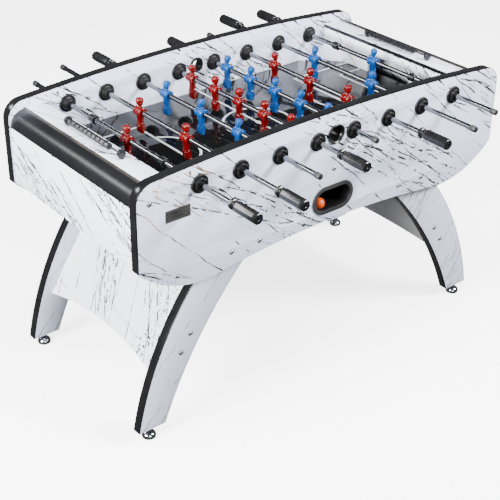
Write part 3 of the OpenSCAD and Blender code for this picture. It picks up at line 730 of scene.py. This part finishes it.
def bead(c, y):
    b = Build()
    b.turn("y", c, [(y, 3.3), (y, 7.6), (y + 0.8, 8.6), (y + 3.4, 10.5), (y + 18.3, 10.5), (y + 20.9, 8.6),
                    (y + 21.7, 7.6), (y + 21.7, 3.3)], 0, 32, shape=octagon, loop=True)
    return b


for side, name in ((-1, "left"), (1, "right")):
    stack = Build()
    for i in range(1, 10):
        stack.join(bead((side * bx, bz), 135.7 - i * 22))
    put(stack, f"score_beads_{name}", [BEAD], body=f"score_beads_{name}", slot="bead", angle=25)
    put(bead((side * bx, bz), 135.7 - 220), f"lead_bead_{name}", [BEAD], body=f"lead_bead_{name}", slot="bead",
        angle=25)

b = Build()
b.block((-617, -HALF_W - 1.3, 741), (-533, -HALF_W, 778), 0.4)
for x0, x1, z0, z1 in ((-615.5, -534.5, 742.5, 744), (-615.5, -534.5, 775, 776.5), (-615.5, -614, 742.5, 776.5),
                       (-536, -534.5, 742.5, 776.5)):
    b.block((x0, -HALF_W - 1.7, z0), (x1, -HALF_W - 1, z1), 0.2)
put(b, "name_plate", [PLATE], slot="plate")

b = Build()


def bolt(x, z, y, out):
    """Domed cap with a hex socket, its head on the side out points to."""
    # the rim ring is painted shade: a near-black outline standing in for the contact shadow round the cap
    b.turn("y", (x, z), [(y, 8), (y + out * 0.9, 8), (y + out * 1.2, 7.6), (y + out * 0.9, 6.9)], 1, 28)
    prof = [(0.9, 7.0), (1.9, 6.8), (2.7, 5.8), (3.2, 4.4), (3.5, 3.0), (2.4, 2.8), (1.8, 0.2)]
    b.turn("y", (x, z), [(y + out * t, r) for t, r in prof], 0, 28)
    # the socket is a near-black hexagon over the dome's hollow, painted shade for the recess
    b.turn("y", (x, z), [(y + out * 1.2, 2.8), (y + out * 2.6, 2.8)], 1, 6)


for s in (-1, 1):
    for sx in (-1, 1):
        for x, z in ((285, 572), (388, 570), (667, 817)):
            bolt(sx * x, z, s * HALF_W, s)
        for x, z in ((517, 323), (552, 268)):
            bolt(sx * x, z, s * INNER, s)
    bolt(0, 720, s * HALF_W, s)
put(b, "bolts", [BOLT_LIT, PAINTED_SHADE], slot="chrome")


# ---------------------------------------------------------------- rods, men, grips

def man(hair_curls):
    """A playing figure about the rod's axis, facing +X. Material 0 is its colour and 1 is painted shade, a near-black
    disc for its screw hole.
    """
    b = Build()
    end = [(-18.5, 12.8), (-18.3, 13.8), (-17.6, 14.8), (-16.8, 15), (-14.2, 15), (-13.4, 14.6), (-12.7, 13.0),
           (-12.2, 12.6), (-11.4, 12.9)]
    barrel = [(y, math.sqrt(15 * 15 - y * y * 0.32)) for y in (-10, -7.5, -5, -2.5, 0, 2.5, 5, 7.5, 10)]
    b.turn("y", (0, 0), [(-18.5, 8.2)] + end + barrel + [(-y, r) for y, r in reversed(end)] + [(18.5, 8.2)], 0, 40,
           loop=True)
    b.loft([oval_ring((0.6, 0), 9.5, 12.5, 9.5, 24, 0.8), oval_ring((0.6, 0), 8.2, 10.4, 13.4, 24, 0.85),
            oval_ring((0.8, 0), 6.0, 6.8, 16.2, 24), oval_ring((0.8, 0), 4.9, 5.2, 18.2, 24),
            oval_ring((0.8, 0), 4.9, 5.2, 22, 24)])
    head = [(17.6, 2.2, 3.0, 3.6), (18.6, 2.0, 5.0, 4.9), (20.4, 1.7, 6.6, 6.4), (23.4, 1.2, 7.8, 7.7),
            (27, 0.7, 8.6, 8.6), (31, 0.2, 9.0, 9.0), (35, -0.2, 9.3, 9.2), (39, -0.5, 8.8, 8.6),
            (42, -0.7, 7.2, 7.0), (44.2, -0.8, 4.6, 4.4), (45.2, -0.8, 1.6, 1.6)]
    b.loft([oval_ring((x, 0), rx, ry, z, 28) for z, x, rx, ry in head])
    b.ball((9.6, 0, 27.6), (1.7, 1.2, 2.4))
    b.ball((10.0, 0, 26.0), (1.5, 1.6, 1.1))
    for s in (-1, 1):
        b.ball((7.7, s * 3.2, 29.8), (1.2, 1.6, 0.8))
        b.ball((7.5, s * 3.3, 31.8), (1.5, 2.4, 0.6))
        b.ball((6.4, s * 4.6, 25.6), (1.6, 1.8, 2.2))
        b.ball((0.4, s * 9.2, 28.4), (1.8, 1.2, 2.8))
    b.ball((8.5, 0, 23.2), (0.9, 2.3, 0.5))
    b.ball((8.2, 0, 22.2), (0.9, 1.8, 0.5))
    b.ball((7.2, 0, 19.6), (1.6, 2.2, 1.4))
    if hair_curls:
        rnd = random.Random(5)
        for i in range(120):
            u = 1 - 2 * (i + 0.5) / 120
            a = i * 2.399963
            k = math.sqrt(1 - u * u)
            d = (k * math.cos(a), k * math.sin(a), u)
            if d[2] < -0.35 or (d[0] > 0.35 and d[2] < 0.42) or (d[0] > 0.0 and d[2] < 0.0):
                continue
            r = rnd.uniform(1.7, 2.4)
            b.ball((-0.8 + 8.9 * d[0], 9.0 * d[1], 34.2 + 9.3 * d[2]), r, detail=2)
    else:
        b.loft([oval_ring((x, 0), rx, ry, z, 32) for z, x, rx, ry in
                ((27.0, -4.4, 5.6, 9.0), (28.5, -3.6, 7.0, 9.9), (31.5, -2.2, 8.9, 10.4), (34.2, -0.9, 10.4, 10.9),
                 (37.0, -0.3, 11.2, 11.2), (40.0, -0.3, 11.0, 10.9), (42.8, -0.5, 9.6, 9.6), (44.8, -0.8, 7.0, 7.2),
                 (45.9, -1.0, 3.2, 3.4))])
        for i in range(9):
            a = math.radians(-64 + 16 * i)
            b.ball((-0.4 + 10.4 * math.cos(a), 10.6 * math.sin(a), 36.4 - 0.25 * (i % 2)), (1.6, 1.9, 2.6))
    b.turn("x", (0, 0), [(12, 3.5), (15.1, 3.5), (15.4, 3.2), (15.4, 2.6), (14.6, 2.4)], 0, 24)
    # a near-black disc in the boss, painted shade standing in for the screw hole
    b.turn("x", (0, 0), [(14.2, 2.5), (14.9, 2.5)], 1, 24)
    for s in (-1, 1):
        leg = [(-9, 0.0, 10.6, 6.0, 4.4), (-16, 0.2, 9.4, 5.7, 4.8), (-21, 0.4, 8.5, 5.4, 5.1),
               (-26, 0.5, 7.7, 5.0, 5.3), (-29, 0.3, 7.4, 4.9, 5.3), (-33, -0.3, 7.9, 5.1, 5.2),
               (-36, -0.5, 8.0, 5.1, 5.1), (-36.6, -0.5, 8.6, 5.5, 5.1), (-38.4, -0.4, 8.5, 5.4, 5.0),
               (-39, -0.4, 7.6, 5.0, 5.0), (-44, 0, 7.2, 4.8, 4.8)]
        b.loft([oval_ring((x, s * y), rx, ry, z, 20, 0.85) for z, x, rx, ry, y in leg])
    b.block((-4.6, -2.6, -20), (4.6, 2.6, -12), 1.2)
    b.block((-3.2, -1.6, -43), (3.2, 1.6, -31), 1.0)
    foot = [(-6, -64.6), (-3.4, -70.6), (5, -70.6), (8.8, -65), (10.3, -57), (8.2, -43.4), (6.6, -40.6), (-5.2, -40.6),
            (-7.8, -44), (-7.8, -50)]
    b.plate([foot], -12.4, 12.4, 1.1)
    # toe side: a grid of studs above a row of ribs
    top, low = Vector((8.6, 0, -45.6)), Vector((10.3, 0, -57))
    for r in range(7):
        c = top.lerp(low, (r + 0.5) / 7)
        for q in range(11):
            y = -10.4 + 2.08 * q
            b.block((c.x - 0.5, y - 0.55, c.z - 0.5), (c.x + 0.28, y + 0.55, c.z + 0.5))
    for q in range(11):
        y = -10.4 + 2.08 * q
        a, d = Vector((10.1, y, -58.4)), Vector((5.6, y, -69.8))
        n = Vector((0.93, 0, -0.36))
        w = Vector((0, 0.5, 0))
        verts = [a - w - n, a + w - n, a + w + n * 0.25, a - w + n * 0.25,
                 d - w - n, d + w - n, d + w + n * 0.25, d - w + n * 0.25]
        b.add(verts, [(0, 1, 2, 3), (4, 7, 6, 5), (0, 4, 5, 1), (1, 5, 6, 2), (2, 6, 7, 3), (3, 7, 4, 0)])
    # broadens the head, which the shapes above draw narrower
    for i, (x, y, z) in enumerate(b.v):
        wider = 1 + 0.12 * min(1.0, max(0.0, (z - 16) / 8))
        b.v[i] = (x * wider, y * wider, z)
    return b


RED_MAN = man(False).mesh("red_man", [RED, PAINTED_SHADE], angle=32)
BLUE_MAN = man(True).mesh("blue_man", [BLUE, PAINTED_SHADE], angle=32)


def grip_mesh(k):
    side, x = SIDE[k - 1], rod_x(k)
    s0, y0 = GRIP_START[k - 1], REST[k - 1]
    b = Build()

    def st(s, r):
        return (y0 + side * (s0 + s), r)
    b.turn("y", (x, ROD_Z), [st(0.2, 8.1), st(0.2, 14.6), st(1.4, 16.4), st(3, 17), st(9, 17), st(10.6, 16.4),
                             st(11.8, 14.6), st(12, 12.6)], 0, 48, shape=octagon, caps=(False, False))
    b.turn("y", (x, ROD_Z), [st(11, 12.0), st(13, 12.0), st(17, 12.0), st(19, 12.4)], 0, 48, caps=(False, False))
    b.turn("y", (x, ROD_Z), [st(18, 12.6), st(18.6, 13.8), st(21, 15.2), st(25, 17), st(30, 17.6), st(60, 17.7),
                             st(100, 17.6), st(108, 17.3), st(110.6, 16.6), st(111.9, 15.2), st(112, 13.8)], 0, 48,
           shape=octagon, caps=(False, False))
    b.turn("y", (x, ROD_Z), [st(112, 13.8), st(112, 4.6), st(111.4, 3.6), st(104, 3.2)], 0, 48, shape=octagon,
           caps=(False, True))
    return b


for k in RODS:
    x, side, y0, n = rod_x(k), SIDE[k - 1], REST[k - 1], COUNT[k - 1]
    front_team = side < 0
    rod, handle = f"rod_{k}", f"handle_{k}"
    tube_end = y0 + side * (GRIP_START[k - 1] + 94.5)
    cap_out = y0 - side * (CAP_MID[k - 1] + 10.5)
    cap_in = cap_out + side * 21
    b = Build()
    b.turn("y", (x, ROD_Z), [(tube_end, 7.95), (cap_out + side * 5, 7.95)], 0, 32)
    b.turn("y", (x, ROD_Z), [(cap_in, 8.0), (cap_in, 9.0), (cap_in - side * 0.6, 9.6), (cap_in - side * 2.6, 9.6),
                             (cap_in - side * 3.1, 9.0), (cap_in - side * 4.1, 9.0), (cap_in - side * 4.6, 9.6),
                             (cap_out + side * 2, 9.6), (cap_out + side * 0.6, 8.9), (cap_out, 7.4)], 1, 36)
    if n == 1:
        for s in (-1, 1):
            y = y0 + s * 183
            b.turn("y", (x, ROD_Z), [(y - 12, 8.0), (y - 12, 12.2), (y - 11.2, 13), (y + 11.2, 13), (y + 12, 12.2),
                                     (y + 12, 8.0)], 2, 36)
            # a near-black disc on each collar, painted shade standing in for its set-screw hole
            b.turn("z", (x, y), [(ROD_Z + 10, 3), (ROD_Z + 13.1, 3)], 3, 20)
    put(b, rod, [TUBE_SHADED, RUBBER, STEEL, PAINTED_SHADE], body=rod, slot="chrome")
    for i in range(n):
        y = y0 + (i - (n - 1) / 2) * GAP[k - 1]
        show(f"man_{k}_{i + 1}", RED_MAN if front_team else BLUE_MAN, handle,
             [f"men_{k}"], at=(x, y, ROD_Z), turn=0 if front_team else math.pi)
    put(grip_mesh(k), f"grip_{k}", [GRIP, PAINTED_SHADE], body=handle, slot="grip", angle=14)


# ---------------------------------------------------------------- stage, light and camera

ground = bpy.data.objects.new("ground", Build().add([(-30000, -30000, 0), (30000, -30000, 0), (30000, 30000, 0),
                                                     (-30000, 30000, 0)], [(0, 1, 2, 3)]).mesh("ground", [GROUND]))
bpy.context.scene.collection.objects.link(ground)
ground.visible_glossy = ground.visible_diffuse = False


def lamp(name, at, target, w, h, power, color=(1, 1, 1)):
    light = bpy.data.lights.new(name, "AREA")
    light.shape = "RECTANGLE"
    light.size, light.size_y, light.energy, light.color = w, h, power, color
    o = bpy.data.objects.new(name, light)
    bpy.context.scene.collection.objects.link(o)
    o.location = at
    o.rotation_euler = (Vector(target) - Vector(at)).to_track_quat("-Z", "Y").to_euler()
    return o


lamp("key", (2.8, -3.4, 3.6), (0, 0, 0.7), 1.6, 1.6, 900)
lamp("left", (-4.4, -0.6, 2.2), (0, 0, 0.7), 2.2, 1.8, 1050)
lamp("top", (-0.4, -0.2, 4.4), (0, 0, 0.7), 1.3, 2.6, 270)
lamp("front", (-1.8, -4.8, 2.0), (0, 0, 0.6), 2.6, 1.6, 120)
lamp("back_left", (-2.6, 2.75, 3.0), (-0.3, 0, 0.8), 1.1, 0.9, 80)

world = bpy.data.worlds.new("studio")
bpy.context.scene.world = world
world.use_nodes = True
background = world.node_tree.nodes["Background"]
background.inputs["Color"].default_value = (0.93, 0.96, 1.0, 1)
background.inputs["Strength"].default_value = 0.16

az, el = math.radians(37.70), math.radians(30.74)
forward = Vector((math.sin(az) * math.cos(el), math.cos(az) * math.cos(el), -math.sin(el)))
right = Vector((math.cos(az), -math.sin(az), 0))
up = right.cross(forward)
cam_data = bpy.data.cameras.new("camera")
cam_data.sensor_width = 36
cam_data.lens = 1162.17 / 500 * 36
cam_data.shift_x, cam_data.shift_y = 0.0537, 0.004
cam_data.clip_end = 100
cam = bpy.data.objects.new("camera", cam_data)
bpy.context.scene.collection.objects.link(cam)
cam.matrix_world = Matrix((
    (right.x, up.x, -forward.x, -2.16844), (right.y, up.y, -forward.y, -2.62325),
    (right.z, up.z, -forward.z, 2.28201), (0, 0, 0, 1)))
bpy.context.scene.camera = cam
